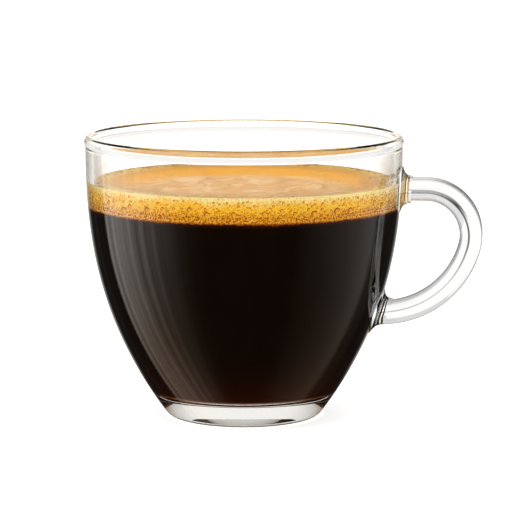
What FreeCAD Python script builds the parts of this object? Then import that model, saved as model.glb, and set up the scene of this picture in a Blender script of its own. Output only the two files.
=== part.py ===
"""Double espresso in a clear glass cup with one handle.

Millimetres, +Z up. The origin is the centre of the foot, on the surface that the cup
stands on. The handle points along +X. Three solids: the glass, the coffee in it and the
crema that floats on the coffee.
"""
import FreeCAD, Part
from math import atan2, cos, degrees, exp, hypot, pi, radians, sin
import os

V = FreeCAD.Vector

# ---- driving dimensions ----
# Cup
wall_diameter = 59.6        # outside of the wall where it runs straight up, under the lip
cup_height = 53.2           # surface to the top of the lip
foot_diameter = 28.8        # where the curve of the wall would meet the surface
bend_height = 52.0          # height at which the wall has become upright
bend_power = 2.53           # how sharply the wall turns in towards the foot
foot_corner = 0.85          # rounding between the wall and the underside
wall_top = 1.4              # thickness of the wall under the lip
wall_low = 2.0              # thickness of the wall at the foot
floor_height = 5.0          # surface to the floor inside
floor_corner = 2.8          # height of the rounded corner inside, above the floor
lip_overhang = 0.175        # how far the bead along the rim stands out past the wall, each side
lip_height = 2.4            # top to bottom of the bead

# Drink
headspace = 8.4             # from the top of the lip down to where the crema meets the wall
crema_depth = 4.6           # thickness of the crema at the wall
meniscus_rise = 0.4         # how far the crema climbs the wall above its flat top
meniscus_width = 1.4        # how far in from the wall the climb starts

# Handle: a flat-sided strap that is half round towards the fingers
handle_reach = 15.05        # from the upright wall out to the far side of the strap
handle_drop = 7.8           # from the top of the lip down to the top of the strap
strap_thickness = 4.3       # seen from the side
strap_width = 5.9           # across, along Y
strap_corner = 0.75         # rounding of the two outer edges
strap_round = 1.85          # depth of the rounding towards the fingers
upper_bend = 8.45           # radius of the tight bend, at the middle of the strap
lower_bend = 16.95          # radius of the slack bend that leads back to the wall
bend_change = 15.0          # degrees below level at which one bend becomes the other

# Foot pads of the handle, flared onto the wall
pad_reach = 1.95            # how far the pad stands out from the wall
pad_spread = 2.1            # how far the flare stands out past the strap, all round
pad_margin = 0.3            # how far the pad's end stands out past the strap
pad_corner = 1.5            # rounding of the pad's four edges, at its end

# ---- shape of the wall ----
wall_radius = wall_diameter / 2
foot_radius = foot_diameter / 2
lip_middle = cup_height - lip_height / 2


def outer_radius(z):
    """Radius of the outside of the wall at the height z."""
    left = max(0.0, 1 - z / bend_height)
    return wall_radius - (wall_radius - foot_radius) * left ** bend_power


def slope(z):
    """Change of the outer radius for each millimetre of height."""
    left = max(0.0, 1 - z / bend_height)
    return (wall_radius - foot_radius) * bend_power / bend_height * left ** (bend_power - 1)


def thickness(z):
    """Thickness of the wall, square to it, at the height z."""
    left = max(0.0, 1 - z / cup_height)
    return wall_top + (wall_low - wall_top) * left ** 2


def inner_radius(z):
    """Radius of the inside of the wall at the height z."""
    return outer_radius(z) - thickness(z) * hypot(1, slope(z))


def wall_curve(radius, z0, z1, count=14):
    """Smooth edge in the XZ plane along the wall from z0 up to z1."""
    heights = [z0 + (z1 - z0) * i / (count - 1) for i in range(count)]
    curve = Part.BSplineCurve()
    curve.interpolate([V(radius(z), 0, z) for z in heights])
    return curve.toShape()


def bend(*points):
    """Smooth corner: a curve that leaves along the first leg and arrives along the last."""
    curve = Part.BezierCurve()
    curve.setPoles(list(points))
    return curve.toShape()


def line(a, b):
    return Part.makeLine(a, b)


def revolve(*edges):
    """Solid of revolution about Z from edges that close an outline in the XZ plane."""
    face = Part.Face(Part.Wire(Part.__sortEdges__(list(edges))))
    return face.revolve(V(0, 0, 0), V(0, 0, 1), 360)


# ---- glass ----
def corner_point(radius, z):
    """Where the wall's tangent at the height z meets the level z0 below it."""
    return lambda z0: V(radius(z) - (radius(z) - radius(z - 0.01)) / 0.01 * (z - z0), 0, z0)


def cavity_edges(level):
    """Outline of the inside from the axis, along the floor and up the wall to a level."""
    start = floor_height + floor_corner
    turn = corner_point(inner_radius, start)(floor_height)
    flat_end = turn - V(floor_corner * 1.2, 0, 0)
    return [line(V(0, 0, floor_height), flat_end),
            bend(flat_end, turn, V(inner_radius(start), 0, start)),
            wall_curve(inner_radius, start, level)]


def make_body():
    """The bowl of the cup, with its rounded foot and the bead along its rim."""
    turn = corner_point(outer_radius, foot_corner)(0)
    flat_end = turn - V(foot_corner, 0, 0)
    wall = revolve(
        line(V(0, 0, 0), flat_end),
        bend(flat_end, turn, V(outer_radius(foot_corner), 0, foot_corner)),
        wall_curve(outer_radius, foot_corner, lip_middle, 20),
        line(V(outer_radius(lip_middle), 0, lip_middle), V(inner_radius(lip_middle), 0, lip_middle)),
        *cavity_edges(lip_middle),
        line(V(0, 0, floor_height), V(0, 0, 0)))
    middle = (outer_radius(lip_middle) + inner_radius(lip_middle)) / 2
    centre = V(middle, 0, lip_middle)
    half = (outer_radius(lip_middle) - inner_radius(lip_middle)) / 2 + lip_overhang
    bead = Part.Ellipse(centre + V(0, 0, lip_height / 2), centre + V(half, 0, 0), centre)
    return wall.fuse(revolve(bead.toShape()))


def strap_section(at, out):
    """Closed wire of the strap at a point of its middle line; out points away from the fingers."""
    half_t, half_w = strap_thickness / 2, strap_width / 2
    across = V(0, 1, 0)

    def p(u, v):
        return at + out * u + across * v

    k = strap_corner * (1 - cos(pi / 4))
    crease = strap_round - half_t
    edges = [line(p(crease, -half_w), p(half_t - strap_corner, -half_w)),
             Part.Arc(p(half_t - strap_corner, -half_w), p(half_t - k, -half_w + k),
                      p(half_t, -half_w + strap_corner)).toShape(),
             line(p(half_t, -half_w + strap_corner), p(half_t, half_w - strap_corner)),
             Part.Arc(p(half_t, half_w - strap_corner), p(half_t - k, half_w - k),
                      p(half_t - strap_corner, half_w)).toShape(),
             line(p(half_t - strap_corner, half_w), p(crease, half_w)),
             Part.Arc(p(crease, half_w), p(-half_t, 0), p(crease, -half_w)).toShape()]
    return Part.Wire(edges)


def polar(centre, radius, angle):
    return centre + V(cos(radians(angle)), 0, sin(radians(angle))) * radius


def inside_wall(z):
    """Radius that lies well inside the glass of the wall."""
    return outer_radius(z) - 0.6 * thickness(z)


def handle_path():
    """The strap's middle line as points and edges, and the angle at which it ends."""
    upper = V(wall_radius + handle_reach - strap_thickness / 2 - upper_bend, 0,
              cup_height - handle_drop - strap_thickness / 2 - upper_bend)
    lower = upper - V(cos(radians(-bend_change)), 0, sin(radians(-bend_change))) * (
        lower_bend - upper_bend)
    top = polar(upper, upper_bend, 90)
    change = polar(upper, upper_bend, -bend_change)
    start = V(inside_wall(top.z), 0, top.z)
    # The slack bend runs on until it is in the glass, or is level and runs straight in.
    angle = -bend_change - 5.0
    while angle > -90 and polar(lower, lower_bend, angle).x > inside_wall(
            polar(lower, lower_bend, angle).z):
        angle -= 0.25
    end = polar(lower, lower_bend, angle)
    edges = [line(start, top),
             Part.Arc(top, polar(upper, upper_bend, (90 - bend_change) / 2), change).toShape(),
             Part.Arc(change, polar(lower, lower_bend, (angle - bend_change) / 2), end).toShape()]
    inside = inside_wall(end.z)
    if end.x - inside > 0.05:
        edges.append(line(end, V(inside, 0, end.z)))
    return start, end, edges


def rounded_rectangle(centre, up, half_height, half_width, corner):
    """Closed wire with rounded corners, square to the XZ plane."""
    across = V(0, 1, 0)

    def p(u, v):
        return centre + up * u + across * v

    k = corner * (1 - cos(pi / 4))
    h, w = half_height, half_width
    edges = []
    for su, sv in ((1, 1), (-1, 1), (-1, -1), (1, -1)):
        # each corner with the straight stretch that follows it, going round
        a, b = p(su * h, sv * (w - corner)), p(su * (h - corner), sv * w)
        if su * sv < 0:
            a, b = b, a
        edges.append(Part.Arc(a, p(su * (h - k), sv * (w - k)), b).toShape())
    ring = []
    for i, edge in enumerate(edges):
        ring += [edge, line(edge.Vertexes[1].Point, edges[(i + 1) % 4].Vertexes[0].Point)]
    return Part.Wire(ring)


def make_pad(z, run):
    """Pad where the strap meets the wall at the height z; run is the strap's way outwards."""
    lean = atan2(slope(z), 1)
    normal = V(cos(lean), 0, -sin(lean))
    up = V(sin(lean), 0, cos(lean))
    root = V(outer_radius(z), 0, z)
    step = run * (1 / run.dot(normal))
    sections = []
    for share in (-0.35, 0.12, 0.5, 1.0):
        flare = pad_margin + (pad_spread - pad_margin) * exp(-3.2 * max(share, 0)) * (1 - max(share, 0))
        sections.append(rounded_rectangle(
            root + step * (pad_reach * share), up, strap_thickness / 2 + flare,
            strap_width / 2 + flare, pad_corner + flare))
    return Part.makeLoft(sections, True, False)


def make_handle():
    """The strap and its two pads, run a little way into the wall."""
    start, end, edges = handle_path()
    path = Part.Wire(edges)
    pipe = path.makePipeShell([strap_section(start, V(0, 0, 1))], True, True)
    strap = Part.Solid(pipe) if pipe.ShapeType != "Solid" else pipe
    return [strap, make_pad(start.z, V(1, 0, 0)), make_pad(end.z, V(1, 0, 0))]


def make_glass():
    """The cup in one piece: bowl and handle, with the inside left clear."""
    glass = make_body().multiFuse(make_handle())
    inside = revolve(*cavity_edges(lip_middle),
                     line(V(inner_radius(lip_middle), 0, lip_middle), V(0, 0, lip_middle)),
                     line(V(0, 0, lip_middle), V(0, 0, floor_height)))
    return glass.cut(inside).removeSplitter().Solids[0]


# ---- drink ----
crema_level = cup_height - headspace
coffee_level = crema_level - crema_depth


def make_coffee():
    """The coffee, from the floor up to the underside of the crema."""
    edge = V(inner_radius(coffee_level), 0, coffee_level)
    return revolve(*cavity_edges(coffee_level), line(edge, V(0, 0, coffee_level)),
                   line(V(0, 0, coffee_level), V(0, 0, floor_height)))


def make_crema():
    """The crema, on the coffee, with a flat top that climbs a little at the wall."""
    low, high = inner_radius(coffee_level), inner_radius(crema_level)
    flat = crema_level - meniscus_rise
    return revolve(line(V(0, 0, coffee_level), V(low, 0, coffee_level)),
                   wall_curve(inner_radius, coffee_level, crema_level, 5),
                   bend(V(high, 0, crema_level), V(high - 0.25 * meniscus_width, 0, flat),
                        V(high - meniscus_width, 0, flat)),
                   line(V(high - meniscus_width, 0, flat), V(0, 0, flat)),
                   line(V(0, 0, flat), V(0, 0, coffee_level)))


def main():
    os.makedirs("parts", exist_ok=True)
    nodes = {"glass_cup": make_glass(), "coffee": make_coffee(), "crema": make_crema()}
    for name, shape in nodes.items():
        solid = shape if shape.ShapeType == "Solid" else shape.Solids[0]
        solid.exportStep(f"parts/{name}.step")
        box = solid.BoundBox
        print(f"{name}: valid {solid.isValid()}, {solid.Volume / 1000:.2f} cm3, "
              f"{box.XLength:.2f} x {box.YLength:.2f} x {box.ZLength:.2f} mm")


main()
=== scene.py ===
"""Double espresso in a clear glass cup: the finish of every surface, and a plain pale studio."""

from math import acos, atan2, cos, degrees, exp, hypot, pi, radians, sin

import bmesh
import bpy
import numpy as np
from bpy.props import FloatProperty, FloatVectorProperty, IntProperty, PointerProperty
from bpy.types import Operator, Panel, PropertyGroup
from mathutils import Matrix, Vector, noise


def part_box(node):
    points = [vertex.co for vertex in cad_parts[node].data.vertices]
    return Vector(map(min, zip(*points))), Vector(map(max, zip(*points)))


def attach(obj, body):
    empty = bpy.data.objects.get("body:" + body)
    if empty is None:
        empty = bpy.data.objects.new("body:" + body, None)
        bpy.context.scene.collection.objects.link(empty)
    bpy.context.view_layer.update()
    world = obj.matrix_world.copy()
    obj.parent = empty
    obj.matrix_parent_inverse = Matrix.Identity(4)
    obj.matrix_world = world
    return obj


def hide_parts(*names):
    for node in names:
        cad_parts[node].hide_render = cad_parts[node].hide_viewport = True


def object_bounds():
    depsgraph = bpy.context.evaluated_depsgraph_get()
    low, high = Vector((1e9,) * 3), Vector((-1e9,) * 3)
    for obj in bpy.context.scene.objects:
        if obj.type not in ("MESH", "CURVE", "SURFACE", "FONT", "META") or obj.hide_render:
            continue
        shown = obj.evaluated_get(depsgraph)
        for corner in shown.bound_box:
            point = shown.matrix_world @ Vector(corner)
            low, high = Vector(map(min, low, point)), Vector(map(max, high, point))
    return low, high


bl_info = {
    "name": "Double Espresso",
    "version": (1, 0, 0),
    "blender": (4, 5, 0),
    "location": "3D View > Sidebar > Espresso",
    "description": "Builds a glass cup of double espresso with its crema, and a plain studio",
    "category": "Add Mesh",
}

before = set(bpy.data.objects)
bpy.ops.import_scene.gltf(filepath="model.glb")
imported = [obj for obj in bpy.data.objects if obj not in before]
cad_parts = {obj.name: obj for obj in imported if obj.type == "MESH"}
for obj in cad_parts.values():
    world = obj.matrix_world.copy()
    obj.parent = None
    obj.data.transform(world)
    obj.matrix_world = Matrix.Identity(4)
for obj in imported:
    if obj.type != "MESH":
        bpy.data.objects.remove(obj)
cad_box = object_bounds()
GLASS_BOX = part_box("glass_cup")
CREMA_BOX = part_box("crema")
COFFEE_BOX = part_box("coffee")

WALL_RINGS = 96                   # rings of points up the wall
AROUND, UP, THIN = 1536, 44, 4    # points round the foam and up it; its top keeps every fourth
CLEAR = (0.99, 0.985, 0.97)       # glass that is seen square on
# painted shade: the colour of glass seen edge on, and of the dark lines painted into it
PAINTED_EDGE_SHADE = (0.20, 0.185, 0.15)  # glass that is seen edge on, and the lines in it
NO_LIGHT = (0.0, 0.0, 0.0)
# painted light: the share of its own colour that the foam gives off
PAINTED_FOAM_GLOW = 0.36                  # what the foam gives off, as a share of its colour


# ---------------- sizes and colours

def length(name, description, default):
    """A size in metres."""
    return FloatProperty(name=name, description=description, default=default, min=0.0,
                         unit="LENGTH", precision=5)


def colour(name, description, default):
    """A colour in linear light."""
    return FloatVectorProperty(name=name, description=description, default=default,
                               subtype="COLOR", size=3, min=0.0, max=1.0)


class EspressoCup(PropertyGroup):
    """The bowl of the cup."""
    height: length("Height", "From the foot to the top of the lip", GLASS_BOX[1][2])
    wall_radius: length("Wall radius", "Outside of the upright wall, under the lip", 0.0298)
    foot_radius: length("Foot radius", "Where the curve of the wall meets the table", 0.0144)
    bend_height: length("Bend height", "Height at which the wall has become upright", 0.052)
    bend_power: FloatProperty(name="Bend", description="How sharply the wall turns in at the foot",
                              default=2.53, min=1.0, max=6.0)
    foot_corner: length("Foot corner", "Rounding between the wall and the underside", 0.00085)
    wall_top: length("Wall at the lip", "Thickness of the glass under the lip", 0.0014)
    wall_low: length("Wall at the foot", "Thickness of the glass at the foot", 0.002)
    floor_height: length("Floor", "From the table to the floor inside", COFFEE_BOX[0][2])
    floor_corner: length("Floor corner", "Height of the rounded corner inside", 0.0028)
    lip_overhang: length("Lip overhang", "How far the bead stands out past the wall", 0.000175)
    lip_height: length("Lip height", "Height of the bead along the rim", 0.0024)


class EspressoHandle(PropertyGroup):
    """The strap handle and its two pads."""
    reach: length("Reach", "From the axis out to the far side of the strap", GLASS_BOX[1][0])
    drop: length("Drop", "From the top of the lip down to the top of the strap", 0.0078)
    thickness: length("Thickness", "Of the strap, seen from the side", 0.0043)
    width: length("Width", "Of the strap, across", 0.0059)
    corner: length("Corner", "Rounding of the two outer edges", 0.00075)
    rounding: length("Rounding", "Depth of the rounding towards the fingers", 0.00185)
    upper_bend: length("Upper bend", "Radius of the tight bend", 0.00845)
    lower_bend: length("Lower bend", "Radius of the slack bend", 0.01695)
    bend_change: FloatProperty(name="Change", description="Angle below level where the bends meet",
                               default=radians(15), subtype="ANGLE")
    pad_reach: length("Pad reach", "How far a pad stands out from the wall", 0.00195)
    pad_spread: length("Pad spread", "How far the flare stands out past the strap", 0.0021)
    pad_margin: length("Pad margin", "How far a pad's end stands out past the strap", 0.0003)
    pad_corner: length("Pad corner", "Rounding of a pad's four edges", 0.0015)


class EspressoDrink(PropertyGroup):
    """The coffee and its crema."""
    crema_level: length("Crema level", "Where the crema meets the wall", CREMA_BOX[1][2])
    coffee_level: length("Coffee level", "Underside of the crema", CREMA_BOX[0][2])
    grip: length("Grip", "How far the drink reaches into the wall, so that no air shows", 0.00014)
    meniscus_rise: length("Meniscus rise", "How far the crema climbs the wall", 0.0004)
    meniscus_width: length("Meniscus width", "How far in from the wall the climb starts", 0.0014)
    large_bubbles: IntProperty(name="Large bubbles", description="Around the whole cup",
                               default=56, min=0)
    small_bubbles: IntProperty(name="Small bubbles", description="Around the whole cup",
                               default=900, min=0)
    coffee: colour("Coffee", "Depth of the coffee", (0.0085, 0.0042, 0.0020))
    # reddish brown under the crema, and painted light in the same colour towards the floor
    coffee_brown_and_painted_light: colour("Coffee edge", "Where the coffee is thin", (0.080, 0.016, 0.003))
    cream: colour("Cream", "The finest foam", (0.97, 0.79, 0.33))
    gold: colour("Gold", "The foam at half its height", (0.96, 0.53, 0.026))
    brown: colour("Brown", "Between the lowest bubbles", (0.30, 0.07, 0.003))
    tan: colour("Tan", "The smooth middle of the top", (0.69, 0.40, 0.165))


class EspressoStage(PropertyGroup):
    """The floor, the light and the camera."""
    distance: length("Distance", "From the axis to the camera, level", 0.4784)
    camera_height: length("Camera height", "Above the table", 0.10258)
    aim_height: length("Aim height", "Above the table", 0.02576)
    turn: FloatProperty(name="Turn", description="Of the camera round the cup, towards the handle",
                        default=radians(6), subtype="ANGLE")
    lens: FloatProperty(name="Lens", description="Focal length in millimetres", default=179.93)
    shift: FloatVectorProperty(name="Shift", description="Of the picture, in shares of its width",
                               default=(0.0234, 0.0445), size=2)
    floor: colour("Floor", "The table", (0.72, 0.72, 0.72))
    shine: FloatProperty(name="Shine", description="Light that the table gives off", default=0.78)


PROPERTY_GROUPS = {"espresso_cup": EspressoCup, "espresso_handle": EspressoHandle,
                   "espresso_drink": EspressoDrink, "espresso_stage": EspressoStage}


def chosen(name):
    """The sizes and colours that the user has set for the cup, handle, drink or stage."""
    return getattr(bpy.context.scene, "espresso_" + name)


# ---------------- shader maths

class Wire:
    """A node's socket that can stand in a Python expression."""

    def __init__(self, tree, socket):
        self.tree, self.socket = tree, socket

    def node(self, kind, settings=None, inputs=None, output=0):
        """Adds any node: its type, its settings first, then values or wires of its sockets."""
        return add_node(self.tree, kind, settings, inputs, output)

    def _math(self, operation, a, b=0.0):
        return self.node("ShaderNodeMath", {"operation": operation}, {0: a, 1: b})

    def __add__(self, other): return self._math("ADD", self, other)
    def __radd__(self, other): return self._math("ADD", other, self)
    def __sub__(self, other): return self._math("SUBTRACT", self, other)
    def __rsub__(self, other): return self._math("SUBTRACT", other, self)
    def __mul__(self, other): return self._math("MULTIPLY", self, other)
    def __rmul__(self, other): return self._math("MULTIPLY", other, self)
    def __truediv__(self, other): return self._math("DIVIDE", self, other)
    def __pow__(self, other): return self._math("POWER", self, other)
    def __neg__(self): return self._math("MULTIPLY", self, -1.0)
    def __abs__(self): return self._math("ABSOLUTE", self)

    def lowest(self, other): return self._math("MINIMUM", self, other)

    def step(self, low, high, smooth=True):
        """0 below low and 1 above high; the other way round where high is below low."""
        return self.node("ShaderNodeMapRange",
                         {"interpolation_type": "SMOOTHSTEP" if smooth else "LINEAR"},
                         {"Value": self, "From Min": low, "From Max": high})

    def blend(self, dark, light):
        """The colour dark where this is 0, and light where it is 1."""
        return self.node("ShaderNodeMix", {"data_type": "RGBA"},
                         {"Factor": self, 6: dark, 7: light}, 2)

    def parts(self):
        """The three numbers of a vector."""
        split = self.node("ShaderNodeSeparateXYZ", None, {0: self}).socket.node
        return [Wire(self.tree, s) for s in split.outputs]

    def vector(self, operation, other):
        """Maths on three numbers at once."""
        return self.node("ShaderNodeVectorMath", {"operation": operation}, {0: self, 1: other})

    def tinted(self, value):
        """This colour times a number."""
        return self.vector("MULTIPLY", value.grey())

    def grey(self):
        """This number as a colour."""
        return self.node("ShaderNodeCombineXYZ", None, {0: self, 1: self, 2: self})


def add_node(tree, kind, settings=None, inputs=None, output=0):
    """The one way any node is made."""
    node = tree.nodes.new(kind)
    for name, value in (settings or {}).items():
        setattr(node, name, value)
    for key, value in (inputs or {}).items():
        socket = node.inputs[key]
        if isinstance(value, Wire):
            tree.links.new(value.socket, socket)
        elif value is not None:
            if socket.type == "RGBA" and len(value) == 3:
                value = (*value, 1.0)
            socket.default_value = value
    return Wire(tree, node.outputs[output]) if node.outputs else node


def new_tree(owner):
    """The empty node tree of a material or world."""
    owner.use_nodes = True
    owner.node_tree.nodes.clear()
    return owner.node_tree


def new_material(name, shade):
    """A material whose surface is what shade(tree) returns."""
    material = bpy.data.materials.new(name)
    tree = new_tree(material)
    add_node(tree, "ShaderNodeOutputMaterial", None, {"Surface": shade(tree)})
    return material


def place(tree):
    """Where a point lies on the object, in metres."""
    return add_node(tree, "ShaderNodeTexCoord", output=3)


def attribute(tree, name):
    """A number that the mesh carries at each point."""
    return add_node(tree, "ShaderNodeAttribute", {"attribute_name": name}, output=2)


def cells(tree, scale, where):
    """How far a point lies from the middle of its foam cell, with so many cells to the metre."""
    return add_node(tree, "ShaderNodeTexVoronoi", None,
                    {"Vector": where, "Scale": scale, "Randomness": 1.0}, "Distance")


def cloud(tree, scale, where, detail=3.0, roughness=0.55, distortion=0.0):
    """Soft patches, so many to the metre."""
    return add_node(tree, "ShaderNodeTexNoise", None,
                    {"Vector": where, "Scale": scale, "Detail": detail, "Roughness": roughness,
                     "Distortion": distortion})


def away(x, y):
    """How far a point lies from the axis, or from the middle of a bubble."""
    return (x * x + y * y) ** 0.5


def relief(tree, height, distance, strength):
    """A normal from a height between 0 and 1."""
    return add_node(tree, "ShaderNodeBump", None,
                    {"Height": height, "Distance": distance, "Strength": strength})


def soft_surface(tree, tint, roughness, glow=0.0, specular=0.0, normal=None):
    """A surface that hardly mirrors. It may give off a share of its own colour as painted light."""
    return add_node(tree, "ShaderNodeBsdfPrincipled", None,
                    {"Base Color": tint, "Roughness": roughness, "Specular IOR Level": specular,
                     "Emission Color": tint if glow else None, "Emission Strength": glow,
                     "Normal": normal})


# ---------------- shape of the cup

def wall_left(z):
    """Share of the curve of the wall that is still above the height z."""
    return max(0.0, 1 - z / chosen("cup").bend_height)


def outer_radius(z):
    """Radius of the outside of the wall at the height z."""
    cup = chosen("cup")
    return cup.wall_radius - (cup.wall_radius - cup.foot_radius) * wall_left(z) ** cup.bend_power


def slope(z):
    """Change of the outer radius with height."""
    cup = chosen("cup")
    return ((cup.wall_radius - cup.foot_radius) * cup.bend_power / cup.bend_height
            * wall_left(z) ** (cup.bend_power - 1))


def thickness(z):
    """Thickness of the wall, square to it."""
    cup = chosen("cup")
    return cup.wall_top + (cup.wall_low - cup.wall_top) * max(0.0, 1 - z / cup.height) ** 2


def inner_radius(z):
    """Radius of the inside of the wall at the height z."""
    return outer_radius(z) - thickness(z) * hypot(1, slope(z))


def corner(radius, start, level, flat, count):
    """Rounded corner from a level surface up onto a wall, as points of radius and height."""
    lean = (radius(start) - radius(start - 1e-5)) / 1e-5
    turn = radius(start) - lean * (start - level)
    a, b, c = Vector((turn - flat, level)), Vector((turn, level)), Vector((radius(start), start))
    steps = [i / count for i in range(count + 1)]
    return [a * (1 - t) ** 2 + b * 2 * t * (1 - t) + c * t * t for t in steps]


def wall_points(radius, low, high, count):
    """Points up the wall, without the lowest."""
    heights = [low + (high - low) * i / count for i in range(1, count + 1)]
    return [Vector((radius(z), z)) for z in heights]


def cavity_points(level, grow=0.0):
    """The inside from the floor up to a level, moved into the glass by grow."""
    cup = chosen("cup")
    start = cup.floor_height + cup.floor_corner
    points = corner(inner_radius, start, cup.floor_height, cup.floor_corner * 1.2, 12)
    points += wall_points(inner_radius, start, level, WALL_RINGS)
    moved = []
    for i, p in enumerate(points):
        along = (points[min(i + 1, len(points) - 1)] - points[max(i - 1, 0)]).normalized()
        moved.append(p + Vector((along.y, -along.x)) * grow)
    return moved


def lip_points():
    """The bead along the rim, from the outside of the wall over to the inside."""
    cup, count = chosen("cup"), 28
    middle = cup.height - cup.lip_height / 2
    outside, inside = outer_radius(middle), inner_radius(middle)
    centre = Vector(((outside + inside) / 2, middle))
    half_wall = (outside - inside) / 2
    half, tall = half_wall + cup.lip_overhang, cup.lip_height / 2
    meet = -acos(half_wall / half)
    angles = [meet + (pi - 2 * meet) * i / count for i in range(count + 1)]
    return [centre + Vector((cos(angle) * half, sin(angle) * tall)) for angle in angles]


def placed(name, data):
    """An object in the scene, shaded smooth."""
    data.shade_smooth()
    piece = bpy.data.objects.new(name, data)
    bpy.context.scene.collection.objects.link(piece)
    return piece


def from_bmesh(name, mesh):
    """An object from a bmesh, with its faces turned outwards."""
    bmesh.ops.recalc_face_normals(mesh, faces=mesh.faces)
    data = bpy.data.meshes.new(name)
    mesh.to_mesh(data)
    mesh.free()
    return placed(name, data)


def from_rows(name, points, faces):
    """An object from rows of points and of faces."""
    data = bpy.data.meshes.new(name)
    data.from_pydata([tuple(p) for p in points], [], faces)
    data.update()
    return placed(name, data)


def revolved(name, outline, segments):
    """A quad mesh from points of radius and height, turned about the axis. An end at the axis
    is closed with a fan."""
    mesh = bmesh.new()
    rings = []
    for p in outline:
        turns = [2 * pi * k / segments for k in range(segments if p.x > 0 else 1)]
        rings.append([mesh.verts.new((p.x * cos(a), p.x * sin(a), p.y)) for a in turns])
    for low, high in zip(rings, rings[1:]):
        for k in range(segments):
            n = (k + 1) % segments
            quad = low[k % len(low)], low[n % len(low)], high[n % len(high)], high[k % len(high)]
            mesh.faces.new(list(dict.fromkeys(quad)))
    return from_bmesh(name, mesh)


def carry(piece, name, values):
    """Gives each point of a mesh a number."""
    layer = piece.data.attributes.new(name, "FLOAT", "POINT")
    layer.data.foreach_set("value", np.asarray(values, dtype=np.float32).ravel())


def read(items, name, kind=np.int32):
    """The numbers that the points, corners or faces of a mesh hold. A place has three."""
    values = np.zeros(len(items) * (3 if name == "co" else 1), dtype=kind)
    items.foreach_get(name, values)
    return values.reshape(-1, 3) if name == "co" else values


# ---------------- shape of the handle

def strap_section():
    """The strap's section as offsets outwards and across: flat outside, round inside."""
    handle = chosen("handle")
    t, w, r = handle.thickness / 2, handle.width / 2, handle.corner
    points = []
    for side, first in ((-1, -90), (1, 0)):
        middle = (t - r, side * (w - r))
        for i in range(7):
            angle = radians(first + 15 * i)
            points.append((middle[0] + r * cos(angle), middle[1] + r * sin(angle)))
    crease = handle.rounding - t
    quarters = [i / 4 for i in range(1, 4)]
    points += [(t - r + (crease - t + r) * share, w) for share in quarters]
    # circle through the two creases and the innermost point
    radius = (w * w + handle.rounding ** 2) / (2 * handle.rounding)
    spread = atan2(w, radius - handle.rounding)
    for i in range(17):
        angle = pi - spread + 2 * spread * i / 16
        points.append((radius - t + radius * cos(angle), radius * sin(angle)))
    return points + [(crease + (t - r - crease) * share, -w) for share in quarters]


def handle_line():
    """Points of the strap's middle line and the way out from the fingers at each."""
    handle, cup = chosen("handle"), chosen("cup")
    ux = handle.reach - handle.thickness / 2 - handle.upper_bend
    uz = cup.height - handle.drop - handle.thickness / 2 - handle.upper_bend
    change = -handle.bend_change
    lx = ux - cos(change) * (handle.lower_bend - handle.upper_bend)
    lz = uz - sin(change) * (handle.lower_bend - handle.upper_bend)

    def upper(a):
        return (ux + handle.upper_bend * cos(a), uz + handle.upper_bend * sin(a)), (cos(a), sin(a))

    def lower(a):
        return (lx + handle.lower_bend * cos(a), lz + handle.lower_bend * sin(a)), (cos(a), sin(a))

    top = uz + handle.upper_bend
    start = inside(top)
    line = [((start + (ux - start) * i / 8, top), (0.0, 1.0)) for i in range(8)]
    line += [upper(pi / 2 + (change - pi / 2) * i / 48) for i in range(48)]
    # the slack bend ends inside the glass of the wall
    end = change
    while end > -pi / 2 and lower(end)[0][0] > inside(lower(end)[0][1]):
        end -= radians(0.25)
    line += [lower(change + (end - change) * i / 48) for i in range(49)]
    (x, z), out = line[-1]
    if x - inside(z) > 5e-5:
        line += [((x + (inside(z) - x) * i / 3, z), out) for i in range(1, 4)]
    return line


def inside(z):
    """Radius that lies well inside the glass of the wall."""
    return outer_radius(z) - 0.6 * thickness(z)


def tube(name, rings):
    """Closed skin over rings of as many points each, with flat ends."""
    mesh = bmesh.new()
    made = [[mesh.verts.new(p) for p in ring] for ring in rings]
    n = len(made[0])
    for a, b in zip(made, made[1:]):
        for k in range(n):
            mesh.faces.new((a[k], a[(k + 1) % n], b[(k + 1) % n], b[k]))
    mesh.faces.new(made[0][::-1])
    mesh.faces.new(made[-1])
    return from_bmesh(name, mesh)


def make_strap(line):
    """The strap, along its middle line."""
    section = strap_section()
    return tube("strap", [[(x + ox * u, v, z + oz * u) for u, v in section]
                          for (x, z), (ox, oz) in line])


def make_pad(z, name):
    """Flared pad where the strap meets the wall at the height z."""
    handle = chosen("handle")
    lean = atan2(slope(z), 1)
    reach = handle.pad_reach / cos(lean)
    rings = []
    # shares of the way out from the wall, where the first two lie inside the glass
    for share in [-0.35, -0.1] + [i / 12 for i in range(13)]:
        way = max(share, 0)
        flare = (handle.pad_margin
                 + (handle.pad_spread - handle.pad_margin) * exp(-3.2 * way) * (1 - way))
        h, w, r = handle.thickness / 2 + flare, handle.width / 2 + flare, handle.pad_corner + flare
        ring = []
        for quarter, (su, sv) in enumerate(((1, 1), (-1, 1), (-1, -1), (1, -1))):
            for i in range(9):
                a = radians(90 * quarter + 90 * i / 8)
                u, v = su * (h - r) + r * cos(a), sv * (w - r) + r * sin(a)
                ring.append((outer_radius(z) + share * reach + sin(lean) * u, v, z + cos(lean) * u))
        rings.append(ring)
    return tube(name, rings)


def join_into(base, others):
    """Makes one closed solid of a base and others that overlap it."""
    for other in others:
        join = base.modifiers.new("join", "BOOLEAN")
        join.operation, join.solver, join.object = "UNION", "EXACT", other
    bpy.context.view_layer.update()
    whole = bpy.data.meshes.new_from_object(
        base.evaluated_get(bpy.context.evaluated_depsgraph_get()))
    base.modifiers.clear()
    old, base.data = base.data, whole
    bpy.data.meshes.remove(old)
    for other in others:
        bpy.data.objects.remove(other)


# ---------------- glass

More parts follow.
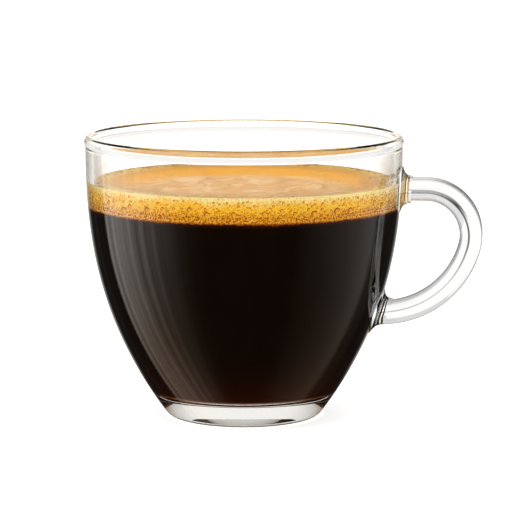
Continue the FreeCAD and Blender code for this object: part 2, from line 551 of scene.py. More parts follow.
def clear_glass(tree, tint, glow=None):
    """Clear glass of a tint, that lets the lamps through. It may give off painted light, as along
    its edges.
    """
    look = {"Base Color": tint, "Roughness": 0.0, "IOR": 1.5, "Transmission Weight": 1.0}
    if glow is not None:
        # painted light given off by the glass
        look.update({"Emission Color": glow, "Emission Strength": 1.0})
    glass = add_node(tree, "ShaderNodeBsdfPrincipled", None, look)
    shadow = add_node(tree, "ShaderNodeLightPath", output="Is Shadow Ray")
    clear = add_node(tree, "ShaderNodeBsdfTransparent", None, {"Color": (0.96, 0.96, 0.95)})
    return add_node(tree, "ShaderNodeMixShader", None, {0: shadow, 1: glass, 2: clear})


def facing(tree):
    """0 where a surface is seen square on and 1 where it is seen edge on."""
    return add_node(tree, "ShaderNodeLayerWeight", None, {"Blend": 0.5}, 1)


def shade_wall(tree):
    """The wall: painted shade where it is seen edge on and in a thin dark line round the foot, and
    painted light along its edges above the foot.
    """
    z = place(tree).parts()[2]
    # painted shade: a thin dark line round the foot
    painted_foot_line = z.step(0.00001, 0.00004) * z.step(0.00075, 0.00040)
    edge = facing(tree)
    # painted shade where the wall is seen edge on
    body = edge.step(0.30, 1.0).blend(CLEAR, (0.27, 0.22, 0.14))
    # painted light along the edges, above the foot
    glow = (edge.step(0.80, 0.93) * z.step(0.006, 0.012)).blend(NO_LIGHT, (0.30, 0.285, 0.25))
    return clear_glass(tree, painted_foot_line.blend(body, (0.020, 0.018, 0.015)), glow)


def shade_rim(tree):
    """The bead: painted shade in thin lines along its edges and in one along the inside, below its
    middle, and painted light where it is seen edge on.
    """
    cup = chosen("cup")
    x, y, z = place(tree).parts()
    edge = facing(tree)
    line = (1 - abs(z - (cup.height - 0.00135)) / 0.00024).step(0.0, 0.9)
    inner = away(x, y).step(cup.wall_radius - 0.0005, cup.wall_radius - 0.0008)
    # painted shade where the bead is seen edge on
    body = edge.step(0.62, 1.0).blend(CLEAR, (0.74, 0.67, 0.54))
    # painted shade: a dark line along the inside of the bead, below its middle
    painted_inside_line = line * inner * (edge.step(0.0, 0.85) * 0.7 + 0.2)
    # painted light where the bead is seen edge on
    glow = edge.step(0.55, 0.95).blend(NO_LIGHT, (0.27, 0.245, 0.19))
    return clear_glass(tree, painted_inside_line.blend(body, PAINTED_EDGE_SHADE), glow)


def shade_handle(tree):
    """The strap, with painted shade: grey along its edges and along the crease, and darker towards
    the fingers.
    """
    across = attribute(tree, "across")
    x, _, z = place(tree).parts()
    # 1 round the tight bend, and 1 below it
    bend = z.step(0.024, 0.034) * x.step(0.0355, 0.0405)
    low = z.step(0.039, 0.033)
    edge = facing(tree)
    # painted shade: grey from the middle of the strap out to its outer face
    fill = across.step(-0.25, -0.05).blend((0.93, 0.93, 0.925), (0.74, 0.74, 0.73))
    # painted shade where the strap is seen edge on
    body = edge.step(0.30, 0.90).blend(fill, PAINTED_EDGE_SHADE)
    # painted shade: a dark outline along the outer edges
    outline = across.step(0.86, 0.96) * edge.step(0.15, 0.60) * 0.85
    body = outline.blend(body, (0.12, 0.115, 0.10))
    # painted shade: dark on the side towards the fingers, most on the lower part
    fingers = across.step(-0.60, -0.82) * (low * 0.55 + bend * 0.25 + 0.10)
    body = fingers.blend(body, (0.05, 0.048, 0.042))
    # painted shade: a dark line along the crease
    crease = (1 - abs(across + 0.16) / (bend * 0.06 + 0.09)).step(0.0, 0.7)
    return clear_glass(tree, (crease * (bend * 0.3 + 0.7)).blend(body, (0.02, 0.019, 0.016)))


def mark_handle(piece, line):
    """Tells wall, bead and handle apart, and how far out each point of the strap lies: 1 on its
    outer face and -1 towards the fingers."""
    cup, handle = chosen("cup"), chosen("handle")
    mesh = piece.data
    kinds = []
    for face in mesh.polygons:
        x, y, z = face.center
        out = hypot(x, y) - outer_radius(z)
        high = z > cup.height - cup.lip_height
        kinds.append(1 if high else 2 if out > 0.00010 and x > 0 else 0)
    mesh.polygons.foreach_set("material_index", kinds)
    spots = np.array([p for p, _ in line])
    ways = np.array([o for _, o in line])
    points = read(mesh.vertices, "co", float)
    across = np.ones(len(points))
    near = np.flatnonzero(points[:, 0] > cup.wall_radius * 0.6)
    flat = points[near][:, (0, 2)]
    nearest = np.argmin(((flat[:, None] - spots[None]) ** 2).sum(-1), axis=1)
    across[near] = ((flat - spots[nearest]) * ways[nearest]).sum(-1) / (handle.thickness / 2)
    carry(piece, "across", across)


class ESPRESSO_OT_glass(Operator):
    """Makes the glass: the bowl with its bead and foot, and the strap handle with its pads."""
    bl_idname = "espresso.glass"
    bl_label = "Glass cup"

    def execute(self, context):
        cup = context.scene.espresso_cup
        foot = corner(outer_radius, cup.foot_corner, 0.0, cup.foot_corner, 8)
        lip = lip_points()
        outside = wall_points(outer_radius, cup.foot_corner, lip[0].y, WALL_RINGS)[:-1]
        inside_wall = cavity_points(lip[-1].y)[:-1]
        ring = 6
        under = [Vector((foot[0].x * i / ring, 0.0)) for i in range(ring)]
        floor = [Vector((inside_wall[0].x * i / ring, cup.floor_height)) for i in range(ring)]
        outline = under + foot + outside + lip + inside_wall[::-1] + floor[::-1]
        piece = revolved("glass_cup_clear", outline, 288)
        line = handle_line()
        strap = make_strap(line)
        pads = [make_pad(line[0][0][1], "pad_high"), make_pad(line[-1][0][1], "pad_low")]
        join_into(strap, pads)
        join_into(piece, [strap])
        piece.data.shade_smooth()
        piece.data.set_sharp_from_angle(angle=radians(32))
        for name, shade in (("glass_wall", shade_wall), ("glass_rim", shade_rim),
                            ("glass_handle", shade_handle)):
            piece.data.materials.append(new_material(name, shade))
        mark_handle(piece, line)
        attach(piece, "root")
        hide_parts("glass_cup")
        return {"FINISHED"}


# ---------------- coffee

def shade_coffee(tree):
    """Near-black coffee, reddish brown in patches just under the crema, and brown towards the floor
    as painted light.
    Where it is seen through the glass at a slant, its surface is a mirror."""
    drink, cup = chosen("drink"), chosen("cup")
    where = place(tree)
    z = where.parts()[2]
    patches = cloud(tree, 160.0, where, 3.0)
    top = z.step(drink.coffee_level - 0.0011, drink.coffee_level - 0.0001) * 1.1
    # painted light: brown towards the floor
    low = z.step(cup.floor_height + 0.014, cup.floor_height + 0.0002)
    # painted light: a brighter brown just above the floor
    foot = (z.step(cup.floor_height + 0.0010, cup.floor_height + 0.0003)
            * z.step(cup.floor_height - 0.00005, cup.floor_height + 0.0001))
    deep = (low * low * 0.22 + top * patches).blend(tuple(drink.coffee), tuple(drink.coffee_brown_and_painted_light))
    body = soft_surface(tree, foot.blend(deep, (0.30, 0.10, 0.02)), 0.5)
    mirror = add_node(tree, "ShaderNodeBsdfAnisotropic", None,
                      {"Color": (1.0, 0.99, 0.97), "Roughness": 0.02})
    # from glass into coffee
    slant = add_node(tree, "ShaderNodeFresnel", None, {"IOR": 1.33 / 1.5}).step(0.03, 0.6)
    return add_node(tree, "ShaderNodeMixShader", None, {0: slant, 1: body, 2: mirror})


class ESPRESSO_OT_coffee(Operator):
    """Makes the coffee, from the floor of the cup up into the crema."""
    bl_idname = "espresso.coffee"
    bl_label = "Coffee"

    def execute(self, context):
        drink = context.scene.espresso_drink
        # it reaches a little way up into the foam
        side = cavity_points(drink.coffee_level + 0.0006, drink.grip * 0.7)
        low = side[0].y
        floor = [Vector((side[0].x * i / 5, low)) for i in range(5)]
        top = [Vector((side[-1].x * i / 5, side[-1].y)) for i in range(5)]
        piece = revolved("coffee_liquid", floor + side + top[::-1], 320)
        piece.data.set_sharp_from_angle(angle=radians(50))
        piece.data.materials.append(new_material("black_coffee", shade_coffee))
        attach(piece, "root")
        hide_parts("coffee")
        return {"FINISHED"}


# ---------------- crema

def large_size(share, rng):
    """Radius of a large bubble, wherever it lies."""
    return rng.uniform(0.00034, 0.00068)


def small_size(share, rng):
    """Radius of a small bubble: the largest lie near half way up."""
    return 0.00013 + 0.00022 * rng.random() ** 2 * (1.15 - abs(share - 0.45))


def scattered(rng, count, sizes, band, gap, taken):
    """Bubbles on the side as rows of angle, height and radius that keep apart.

    band is the lowest and the highest share of the crema's depth, sizes gives a bubble's radius
    from its share, and taken holds the bubbles placed before."""
    drink = chosen("drink")
    depth = drink.crema_level - drink.coffee_level
    round_cup = inner_radius(drink.crema_level)
    rows, tries = [], 0
    while len(rows) < count and tries < count * 60:
        tries += 1
        share = rng.uniform(*band)
        angle, z, r = rng.uniform(0, 2 * pi), drink.coffee_level + depth * share, sizes(share, rng)
        old = np.array(taken + rows) if taken or rows else np.zeros((0, 3))
        if len(old):
            across = np.abs((old[:, 0] - angle + pi) % (2 * pi) - pi) * round_cup
            if np.any(np.hypot(across, old[:, 1] - z) < (old[:, 2] + r) * gap):
                continue
        rows.append((angle, z, r))
    return rows


def foam_cells(across, up, size, seed, cols):
    """Distance to the nearest cell centre, in cells, and that cell's number, for angles round the
    cup and heights, with so many columns of cells round it."""
    gx, gy = across / (2 * pi) * cols, up / size
    ix, iy = np.floor(gx).astype(int), np.floor(gy).astype(int)
    best = np.full(gx.shape, 9.0)
    label = np.zeros(gx.shape)

    def dice(cx, cy, k):
        n = (cx % cols) * 374761393 + cy * 668265263 + seed * 1442695 + k * 974634777
        n = (n ^ (n >> 13)) * 1274126177
        return ((n ^ (n >> 16)) & 0xFFFFF) / float(0xFFFFF)

    for dx in (-1, 0, 1):
        for dy in (-1, 0, 1):
            cx, cy = ix + dx, iy + dy
            px, py = cx + 0.15 + 0.7 * dice(cx, cy, 1), cy + 0.15 + 0.7 * dice(cx, cy, 2)
            d = np.hypot(gx - px, gy - py)
            nearer = d < best
            label = np.where(nearer, dice(cx, cy, 3), label)
            best = np.where(nearer, d, best)
    return best, label


def froth(tree, where, size, small, large, line):
    """Round bubbles laid out flat: how far inside one a point is (0 or 1), the thin line round
    each, the light across it from -1 to 1, and a number for each bubble."""
    scaled = where.node("ShaderNodeTexVoronoi", {"voronoi_dimensions": "2D"},
                        {"Vector": where, "Scale": 1 / size, "Randomness": 0.85}).socket.node
    distance, tone, spot = (Wire(tree, s) for s in list(scaled.outputs)[:3])
    chance, number = tone.parts()[:2]
    radius = chance * chance * (large - small) + small
    share = distance / radius
    x, y = where.vector("SUBTRACT", spot).parts()[:2]
    light = (x * 0.6 - y * 0.8) / (radius * size)
    ring = (1 - abs(share - 0.96) / line).step(0.0, 0.7)
    return share.step(1.15, 0.80), ring, light, number


def shade_crema_side(tree):
    """Golden foam: cream and fine at the top, gold with round bubbles, brown pits at the foot."""
    drink = chosen("drink")
    where = place(tree)
    flat = add_node(tree, "ShaderNodeUVMap", {"uv_map": "unrolled"})
    x, _, z = where.parts()
    share = (z - drink.coffee_level) / (drink.crema_level - drink.coffee_level)
    level = share + (cloud(tree, 190.0, where, 2.0) - 0.5) * 0.45
    patch = cloud(tree, 130.0, where, 2.0, 0.5)
    # painted light: paler towards the left and right edges, more on the left
    painted_pale_sides = x.step(-0.010, -0.024) * 0.55 + x.step(0.018, 0.027) * 0.2
    # the skin of the foam
    middle = level.step(0.98, 0.60)
    low = level.step(0.52, 0.20)
    skin = middle.blend(tuple(drink.cream), painted_pale_sides.blend(tuple(drink.gold), (0.96, 0.70, 0.24)))
    skin = low.blend(skin, painted_pale_sides.blend((0.76, 0.33, 0.010), (0.92, 0.62, 0.25)))
    # painted light: paler still at the far left and right edges
    skin = (abs(x).step(0.0252, 0.0278) * 0.75).blend(skin, (1.0, 0.80, 0.46))
    skin = (patch.step(0.42, 0.70) * middle * (1 - low) * 0.5).blend(skin, (0.94, 0.50, 0.012))
    grain = cells(tree, 4300.0, where)
    # painted highlights: pale specks on the finest bubbles, strongest near the top
    skin = (grain.step(0.55, 0.15) * (0.42 - middle * 0.22)).blend(skin, (0.99, 0.88, 0.52))
    # round bubbles with painted shade, dark above on the left, and painted light, bright below on
    # the right
    hollow, ring, light, tone = froth(tree, flat, 0.00118, 0.15, 0.42, 0.20)
    there = tone.step(0.30, 0.36) * middle * (1 - low * 0.5)
    lit = light.step(-0.8, 0.8)
    heart = low.blend(lit.blend((0.80, 0.32, 0.006), (0.98, 0.66, 0.05)),
                      lit.blend((0.52, 0.15, 0.003), (0.88, 0.44, 0.012)))
    skin = (hollow * there).blend(skin, heart)
    # painted shade: a dark arc on the unlit side of each bubble
    skin = (ring * there * light.step(0.3, -0.6) * 0.8).blend(skin, (0.30, 0.08, 0.002))
    # painted highlight: a bright arc on the lit side
    skin = (ring * there * light.step(0.1, 0.8) * 0.6).blend(skin, (0.99, 0.84, 0.34))
    # pits: a few in the pale foam, and close together low down. Each row holds the cells' size,
    # a pit's least and greatest share of it, a shift, and how rare pits are high up and low down
    for size, small, large, turn, thin, thick in ((0.00066, 0.20, 0.36, 0.0131, 0.80, 0.20),
                                                  (0.00047, 0.22, 0.38, 0.0077, 0.72, 0.25),
                                                  (0.00031, 0.24, 0.42, 0.0043, 0.55, 0.35)):
        moved = flat.vector("ADD", (turn, 0.3 * turn, 0.0))
        mouth, ring, light, tone = froth(tree, moved, size, small, large, 0.3)
        few = tone.step(thin, thin + 0.06) * (middle * 0.4 + 0.6)
        there = few * (1 - low) + low * tone.step(thick, thick + 0.06)
        pit = low.blend((0.50, 0.21, 0.015), tuple(drink.brown))
        skin = (mouth * there * (low * 0.25 + 0.65)).blend(skin, pit)
    foot = share.step(0.04, -0.05)
    body = (foot * 0.85).blend(skin, (0.22, 0.035, 0.002))
    height = cells(tree, 2600.0, where).step(0.6, 0.1)
    # painted light: the foam gives off a share of its colour
    return soft_surface(tree, body, 0.6, PAINTED_FOAM_GLOW, normal=relief(tree, height, 0.00008, 0.5))


def shade_crema_top(tree):
    """Smooth tan top with pale swirls, an orange ring and a pale ring of fine foam at the wall."""
    drink = chosen("drink")
    where = place(tree)
    x, y, _ = where.parts()
    warp = cloud(tree, 90.0, where, 3.0, 0.6)
    edge = inner_radius(drink.crema_level)
    # the tan middle lies towards the front
    reach = away(x, y + 0.0125) + (warp - 0.5) * 0.0090
    out = (away(x, y) + (warp - 0.5) * 0.003) / edge
    swirl_place = where.vector("MULTIPLY", (1.0, 0.62, 1.0))
    swirl = cloud(tree, 200.0, swirl_place, 4.0, 0.55, 1.4)
    middle = swirl.step(0.49, 0.62).blend(tuple(drink.tan), (0.77, 0.50, 0.255))
    middle = (swirl.step(0.48, 0.34) * 0.6).blend(middle, (0.60, 0.31, 0.10))
    orange = reach.step(0.0170, 0.0265).blend(middle, (0.79, 0.365, 0.036))
    sides = (x * x / (edge * edge)).step(0.15, 0.85) + y.step(0.0, -0.012)
    front = y.step(-0.004, -0.020)
    ring = (out + front * 0.035).step(0.86, 0.985) * (sides.lowest(1.0) * 0.45 + 0.55)
    pale = ring.blend(orange, front.blend((1.0, 0.63, 0.10), (1.0, 0.76, 0.38)))
    fine = cells(tree, 4200.0, where)
    grain = cells(tree, 1500.0, where)
    spots = cloud(tree, 330.0, where, 1.0).step(0.58, 0.68)
    pits = grain.step(0.24, 0.12) * spots
    body = (pits * (out.step(0.5, 0.9) * 0.6 + 0.3)).blend(pale, (0.45, 0.17, 0.02))
    body = (fine.step(0.55, 0.1) * out.step(0.8, 1.0) * 0.35).blend(body, (0.97, 0.78, 0.42))
    height = swirl + fine * out.step(0.6, 1.0) * 0.2 - pits * 0.3
    return soft_surface(tree, body, 0.5, normal=relief(tree, height, 0.0016, 0.9))


def glint(right, up, height, outer, inner):
    """A small round glint up on the left of a bubble."""
    x, y = right + 0.2, up - height
    return (x * x + y * y).step(outer, inner)


def shade_bubble(tree):
    """An amber bubble against the glass, with painted shade on one side, painted light on the
    other, a painted glint, and a painted glow.
    """
    right, up, tone = (attribute(tree, n) for n in ("right", "up", "tone"))
    share = away(right, up)
    light = right * 0.6 - up * 0.8
    # painted light and shade: bright on the lit side, dark on the other
    body = light.step(-0.9, 0.9).blend((0.50, 0.15, 0.002), (0.88, 0.40, 0.009))
    body = (tone * 0.35).blend(body, (0.96, 0.66, 0.09))
    # painted shade: a dark outline, heaviest on the unlit side
    outline = share.step(0.60, 0.85) * (light.step(0.8, -0.4) * 0.7 + 0.25)
    body = outline.blend(body, (0.16, 0.04, 0.002))
    # painted highlight: a bright arc on the lit side
    body = (share.step(0.74, 0.92) * light.step(0.4, 0.9) * 0.6).blend(body, (0.99, 0.80, 0.26))
    # painted highlight: a small glint
    body = (glint(right, up, 0.25, 0.04, 0.01) * 0.5).blend(body, (1.0, 0.86, 0.45))
    # painted light: the bubble gives off a share of its colour
    return soft_surface(tree, body, 0.4, 0.4)


def shade_top_bubble(tree):
    """A clear little dome that floats on the crema: tan, with painted shade in a brown arc along
    its front edge, and a painted glint.
    """
    right, up, tone = (attribute(tree, n) for n in ("right", "up", "tone"))
    share = away(right, up)
    body = tone.blend((0.66, 0.33, 0.07), (0.80, 0.50, 0.18))
    # painted shade: a brown arc along the front edge
    body = (share.step(0.60, 0.90) * up.step(0.5, -0.5)).blend(body, (0.40, 0.15, 0.02))
    # painted highlight: a glint
    body = (glint(right, up, 0.1, 0.08, 0.02) * 0.8).blend(body, (1.0, 0.90, 0.66))
    return soft_surface(tree, body, 0.3, specular=0.2)


def wall_seats(rows):
    """Seats of bubbles on the side of the crema, from rows of angle, height and radius: a place,
    the ways along, up and out, and the radius."""
    drink = chosen("drink")
    for angle, z, r in rows:
        lean = atan2(slope(z), 1)
        out = Vector((cos(angle) * cos(lean), sin(angle) * cos(lean), -sin(lean)))
        side = Vector((-sin(angle), cos(angle), 0.0))
        seat = Vector((cos(angle), sin(angle), 0.0)) * (inner_radius(z) + drink.grip * 0.85)
        seat.z = z
        yield seat, side, out.cross(side), out, r


def top_seats(rows):
    """The same on the top of the crema, from rows of angle, distance from the axis and radius."""
    drink = chosen("drink")
    rim = inner_radius(drink.crema_level) - drink.meniscus_width
    ways = Vector((1, 0, 0)), Vector((0, 1, 0)), Vector((0, 0, 1))
    for angle, far, r in rows:
        climb = max(0.0, (far - rim) / drink.meniscus_width) ** 2 * drink.meniscus_rise
        level = drink.crema_level - drink.meniscus_rise + climb
        yield Vector((far * cos(angle), far * sin(angle), level)), *ways, r


def make_bubbles(name, seats, shade, bulge, contrast, rings, segments):
    """Round caps as one piece, one for each seat."""
    points, faces, right, high, tone = [], [], [], [], []
    for number, (seat, side, up, out, r) in enumerate(seats):
        base = len(points)
        for i in range(rings + 1):
            share = sin(pi / 2 * i / rings)
            rise = bulge * cos(pi / 2 * i / rings) - (0.25 if i == rings else 0.0)
            for k in range(segments if i else 1):
                a = 2 * pi * k / segments
                points.append(seat + side * (r * share * cos(a)) + up * (r * share * sin(a))
                              + out * (r * rise))
                right.append(share * cos(a))
                high.append(share * sin(a))
        for k in range(segments):
            n = (k + 1) % segments
            faces.append((base, base + 1 + k, base + 1 + n))
            for i in range(rings - 1):
                row = base + 1 + i * segments
                faces.append((row + k, row + segments + k, row + segments + n, row + n))
        tone += [(number * 0.618) % 1.0 * contrast] * (len(points) - base)
    piece = from_rows(name, points, faces)
    for label, values in (("right", right), ("up", high), ("tone", tone)):
        carry(piece, label, values)
    piece.data.materials.append(new_material(name + "_skin", shade))
    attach(piece, "root")
    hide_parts("crema")


def unroll(piece):
    """Lays the side out flat: metres along the wall, and height."""
    mesh = piece.data
    points = read(mesh.vertices, "co", float)
    corners = read(mesh.loops, "vertex_index")
    starts, totals = (read(mesh.polygons, name) for name in ("loop_start", "loop_total"))
    # measured from the back of the cup, so that the seam lies there
    turn = np.arctan2(points[:, 0], -points[:, 1])[corners]
    first = np.repeat(turn[starts], totals)
    turn = first + (turn - first + pi) % (2 * pi) - pi
    wall = inner_radius(chosen("drink").crema_level)
    flat = np.stack([turn * wall, points[corners][:, 2]], -1)
    mesh.uv_layers.new(name="unrolled").data.foreach_set("uv", flat.ravel())


def foam_side(angle):
    """Points of the foam's side, row by row upwards, with its cells pressed in."""
    drink = chosen("drink")
    # the lower edge is uneven, where single bubbles hang into the coffee
    droop = sum(size * np.sin(turns * angle + phase)
                for turns, size, phase in ((7, 0.05, 0.4), (17, 0.04, 2.1), (41, 0.03, 1.3)))
    near, label = foam_cells(angle, np.full(AROUND, 3.5), 1.0, 5, 360)
    hang = np.sqrt(np.clip(1 - (near / 0.55) ** 2, 0, 1)) * (0.3 + label)
    low = drink.coffee_level - 0.00010 + droop * 0.0010 - 0.00026 * hang
    turn, share = np.meshgrid(angle, np.linspace(0, 1, UP))
    z = low + (drink.crema_level - low) * share
    cell, _ = foam_cells(turn, z - drink.coffee_level, 0.00046, 11, 390)
    dent = 0.00005 * np.clip(1 - cell / 0.5, 0, 1)
    radius = np.vectorize(inner_radius)(z) + drink.grip - dent
    return np.stack([radius * np.cos(turn), radius * np.sin(turn), z], -1)


def foam_top():
    """Rings of radius and height inwards from the wall: a short climb down, then level."""
    drink = chosen("drink")
    flat = drink.crema_level - drink.meniscus_rise
    edge = inner_radius(drink.crema_level) + drink.grip
    rim = edge - drink.meniscus_width
    rings = []
    for t in np.linspace(0, 1, 9)[1:]:
        bend = edge - 0.25 * drink.meniscus_width
        r = edge * (1 - t) ** 2 + bend * 2 * t * (1 - t) + rim * t * t
        rings.append((r, drink.crema_level * (1 - t) ** 2 + flat * (1 - (1 - t) ** 2)))
    return rings + [(r, flat) for r in np.linspace(rim, 0, 34)[1:-1]]


def swell(x, y):
    """How high the slow waves and low swirls stand on the level part of the top."""
    drink = chosen("drink")
    rim = inner_radius(drink.crema_level) + drink.grip - drink.meniscus_width
    inwards = max(0.0, 1 - hypot(x, y) / rim)
    waves = noise.noise(Vector((x * 130, y * 260, 1.0))) * 0.5
    swirls = noise.noise(Vector((x * 420, y * 700, 7.0))) * 0.25
    return 0.00012 * (waves + swirls) * min(1.0, inwards * 6)


def stitched(low, high):
    """Faces between two rings of point numbers, where the second may be a thinned one."""
    n, wide = len(high), len(low) // len(high)
    return [[*(low[(k * wide + i) % len(low)] for i in range(wide + 1)), high[(k + 1) % n], high[k]]
            for k in range(n)]


class ESPRESSO_OT_crema(Operator):
    """Makes the crema: the layer of foam with its cells, and its smooth top."""
    bl_idname = "espresso.crema"
    bl_label = "Crema"

    def execute(self, context):
        angle = np.linspace(0, 2 * pi, AROUND, endpoint=False)
        side = foam_side(angle)
        points = side.reshape(-1, 3).tolist()
        rings = [range(i * AROUND, (i + 1) * AROUND) for i in range(UP)]
        for i, (r, z) in enumerate(foam_top()):
            spots = [(r * cos(a), r * sin(a)) for a in (angle if i < 2 else angle[::THIN])]
            rings.append(range(len(points), len(points) + len(spots)))
            points += [(x, y, z + swell(x, y)) for x, y in spots]
        faces = [face for low, high in zip(rings, rings[1:]) for face in stitched(low, high)]
        hub, first, last = len(points), rings[0], rings[-1]
        points += [(0, 0, z), (0, 0, side[0, :, 2].mean())]
        faces += [(last[k], last[(k + 1) % len(last)], hub) for k in range(len(last))]
        faces += [(first[(k + 1) % AROUND], first[k], hub + 1) for k in range(AROUND)]
        piece = from_rows("crema_foam", points, faces)
        piece.data.set_sharp_from_angle(angle=radians(60))
        unroll(piece)
        for name, shade in (("crema_side", shade_crema_side), ("crema_top", shade_crema_top)):
            piece.data.materials.append(new_material(name, shade))
        kinds = np.ones(len(faces), dtype=np.int32)
        kinds[:(UP - 1) * AROUND] = kinds[-AROUND:] = 0
        piece.data.polygons.foreach_set("material_index", kinds)
        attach(piece, "root")
        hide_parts("crema")
        return {"FINISHED"}


class ESPRESSO_OT_bubbles(Operator):
    """Makes the round bubbles that lie against the glass, and those that float at the wall."""
    bl_idname = "espresso.bubbles"
    bl_label = "Bubbles"

    def execute(self, context):
        drink = context.scene.espresso_drink
        rng = np.random.default_rng(21)
        large = scattered(rng, drink.large_bubbles, large_size, (0.24, 0.52), 1.4, [])
        small = scattered(rng, drink.small_bubbles, small_size, (0.06, 0.86), 1.08, large)
        make_bubbles("large_bubbles", wall_seats(large), shade_bubble, 0.22, 0.55, 5, 20)
        make_bubbles("small_bubbles", wall_seats(small), shade_bubble, 0.32, 0.55, 3, 10)
        wall = inner_radius(drink.crema_level)
        floating = []
        # mostly tiny ones all round, and a few larger ones by the handle
        for _ in range(420):
            r = 0.00009 + 0.00022 * rng.random() ** 3
            floating.append((rng.uniform(0, 2 * pi), wall - r * 0.6 - rng.exponential(0.0009), r))
        for _ in range(46):
            r = rng.uniform(0.00016, 0.00034)
            angle = rng.normal(radians(4), radians(14))
            floating.append((angle, wall - rng.uniform(0.0008, 0.0062), r))
        make_bubbles("top_bubbles", top_seats(floating), shade_top_bubble, 0.55, 0.8, 3, 10)
        return {"FINISHED"}


# ---------------- stage

def ramp(value, *stops):
    """A smooth course through pairs of a value and what it gives."""
    total = stops[0][1]
    for (low, start), (high, end) in zip(stops, stops[1:]):
        total = total + value.step(low, high, False) * (end - start)
    return total


def light_from(tree):
    """The studio's glow: even for soft light, banded where glass mirrors it, and dark in front
    where glass bends it, so that clear glass shows its edges."""
    stage = chosen("stage")
    way = add_node(tree, "ShaderNodeTexCoord", output=0)
    x, y, z = way.parts()
    # the angle round the cup: 0 in front of it, towards the camera, and 180 behind
    angle = way.node("ShaderNodeMath", {"operation": "ARCTAN2"}, {0: x, 1: -y}) * (180 / pi)
    angle = angle - degrees(stage.turn)
    streaks = add_node(tree, "ShaderNodeTexNoise", {"noise_dimensions": "1D"},
                       {"W": angle, "Scale": 0.13, "Detail": 1.6}) * 1.9 + 0.05
    left = ramp(-angle, (30.0, 0.0), (42.0, 0.07), (51.0, 0.24), (58.0, 0.50), (66.0, 0.75),
                (79.0, 1.0), (81.0, 1.45), (97.0, 1.65), (116.0, 1.9), (122.0, 1.9), (126.0, 0.03))
    right = ramp(angle, (38.0, 0.0), (50.0, 0.10), (70.0, 0.27), (94.0, 0.52), (107.0, 0.66),
                 (112.0, 0.66), (118.0, 0.14), (134.0, 0.03))
    behind = abs(angle).step(166.0, 176.0)
    mirrored = (left * streaks + right) * (z.step(-0.75, -0.05) * 0.55 + 0.45) + behind
    warm = z.step(-0.25, -0.75).blend((1.0, 0.96, 0.93), (1.0, 0.72, 0.54))
    bent = ramp(abs(angle), (40.0, 0.40), (85.0, 0.50), (118.0, 1.0))
    bent = bent * ramp(z, (0.35, 1.0), (0.85, 0.55))
    olive = bent.step(0.3, 1.0).blend((0.74, 0.66, 0.48), (1, 1, 1))
    soft = z.step(0.0, 0.9) * 0.15 + 1.0
    path = add_node(tree, "ShaderNodeLightPath").socket.node
    camera, glossy, through = (Wire(tree, path.outputs[n]) for n in (
        "Is Camera Ray", "Is Glossy Ray", "Is Transmission Ray"))
    level = through.blend(glossy.blend(soft.grey(), warm.tinted(mirrored)), olive.tinted(bent))
    return camera.blend(level, (1.0, 1.0, 1.0))


def add_area(name, size, energy, place_at, aim):
    """A soft lamp that glass doesn't mirror."""
    lamp = bpy.data.lights.new(name, "AREA")
    lamp.shape, lamp.size, lamp.energy = "DISK", size, energy
    rig = bpy.data.objects.new(name, lamp)
    rig.location = place_at
    rig.rotation_euler = (Vector(aim) - Vector(place_at)).to_track_quat("-Z", "Y").to_euler()
    rig.visible_glossy = False
    rig.visible_transmission = False
    bpy.context.scene.collection.objects.link(rig)


def shade_floor(tree):
    """Plain pale table with a faint grain, that gives off light, and painted light twice as strong
    under the foot of the cup.
    """
    stage = chosen("stage")
    grain = cloud(tree, 900.0, place(tree), 2.0)
    tone = grain.blend(tuple(c * 0.99 for c in stage.floor), tuple(stage.floor))
    x, y, _ = place(tree).parts()
    foot = chosen("cup").foot_radius
    # painted light: the table gives off twice as much under the foot of the cup
    glow = tone.tinted(away(x, y).step(foot + 0.0015, foot - 0.0010) + 1)
    return add_node(tree, "ShaderNodeBsdfPrincipled", None,
                    {"Base Color": tone, "Roughness": 0.9, "Specular IOR Level": 0.0,
                     "Emission Color": glow, "Emission Strength": stage.shine})


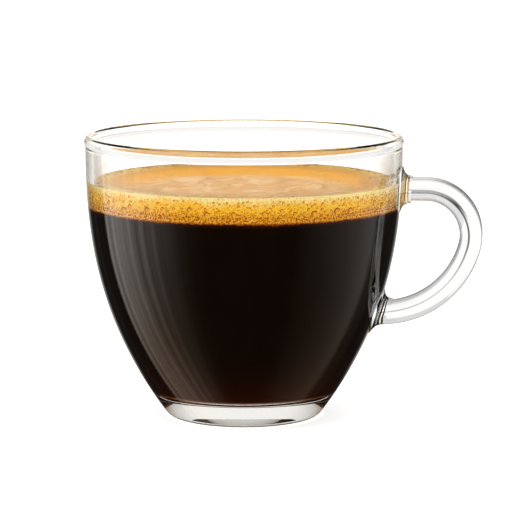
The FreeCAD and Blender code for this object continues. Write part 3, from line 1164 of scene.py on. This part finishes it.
class ESPRESSO_OT_stage(Operator):
    """Makes the pale floor, the soft studio light and the camera."""
    bl_idname = "espresso.stage"
    bl_label = "Stage"

    def execute(self, context):
        stage = context.scene.espresso_stage
        floor = revolved("pale_floor", [Vector((r, 0.0)) for r in (0.0, 0.15, 0.6, 3.5)], 96)
        floor.location.z = cad_box[0][2] - 0.00003
        floor.data.materials.append(new_material("pale_table", shade_floor))
        floor.visible_glossy = False

        world = bpy.data.worlds.new("studio")
        context.scene.world = world
        tree = new_tree(world)
        glow = add_node(tree, "ShaderNodeBackground", None,
                        {"Color": light_from(tree), "Strength": 1.0})
        add_node(tree, "ShaderNodeOutputWorld", None, {"Surface": glow})
        add_area("key_left", 0.40, 1.0, (-0.45, -0.35, 0.55), (0, 0, 0.04))
        add_area("fill_right", 0.40, 0.4, (0.5, -0.3, 0.4), (0, 0, 0.04))

        camera = bpy.data.cameras.new("camera")
        camera.lens = stage.lens
        camera.shift_x, camera.shift_y = stage.shift
        camera.clip_start, camera.clip_end = 0.01, 20
        rig = bpy.data.objects.new("camera", camera)
        rig.location = (stage.distance * sin(stage.turn), -stage.distance * cos(stage.turn),
                        stage.camera_height)
        aim = Vector((0, 0, stage.aim_height))
        rig.rotation_euler = (aim - rig.location).to_track_quat("-Z", "Y").to_euler()
        context.scene.collection.objects.link(rig)
        context.scene.camera = rig
        context.scene.view_settings.view_transform = "Standard"
        return {"FINISHED"}


# ---------------- add-on

OPERATORS = (ESPRESSO_OT_glass, ESPRESSO_OT_coffee, ESPRESSO_OT_crema, ESPRESSO_OT_bubbles,
             ESPRESSO_OT_stage)


class ESPRESSO_PT_panel(Panel):
    """Lists the steps that build the espresso."""
    bl_idname = "ESPRESSO_PT_panel"
    bl_label = "Double Espresso"
    bl_space_type = "VIEW_3D"
    bl_region_type = "UI"
    bl_category = "Espresso"

    def draw(self, context):
        for operator in OPERATORS:
            self.layout.operator(operator.bl_idname)
        for name, group in PROPERTY_GROUPS.items():
            box = self.layout.box()
            box.label(text=group.__doc__)
            for key in group.__annotations__:
                box.prop(getattr(context.scene, name), key)


CLASSES = (*PROPERTY_GROUPS.values(), *OPERATORS, ESPRESSO_PT_panel)


def register():
    for cls in CLASSES:
        bpy.utils.register_class(cls)
    for name, group in PROPERTY_GROUPS.items():
        setattr(bpy.types.Scene, name, PointerProperty(type=group))


def unregister():
    for name in PROPERTY_GROUPS:
        delattr(bpy.types.Scene, name)
    for cls in reversed(CLASSES):
        bpy.utils.unregister_class(cls)


def main():
    """Builds everything in order."""
    register()
    bpy.ops.espresso.glass()
    bpy.ops.espresso.coffee()
    bpy.ops.espresso.crema()
    bpy.ops.espresso.bubbles()
    bpy.ops.espresso.stage()


if __name__ == "__main__":
    main()
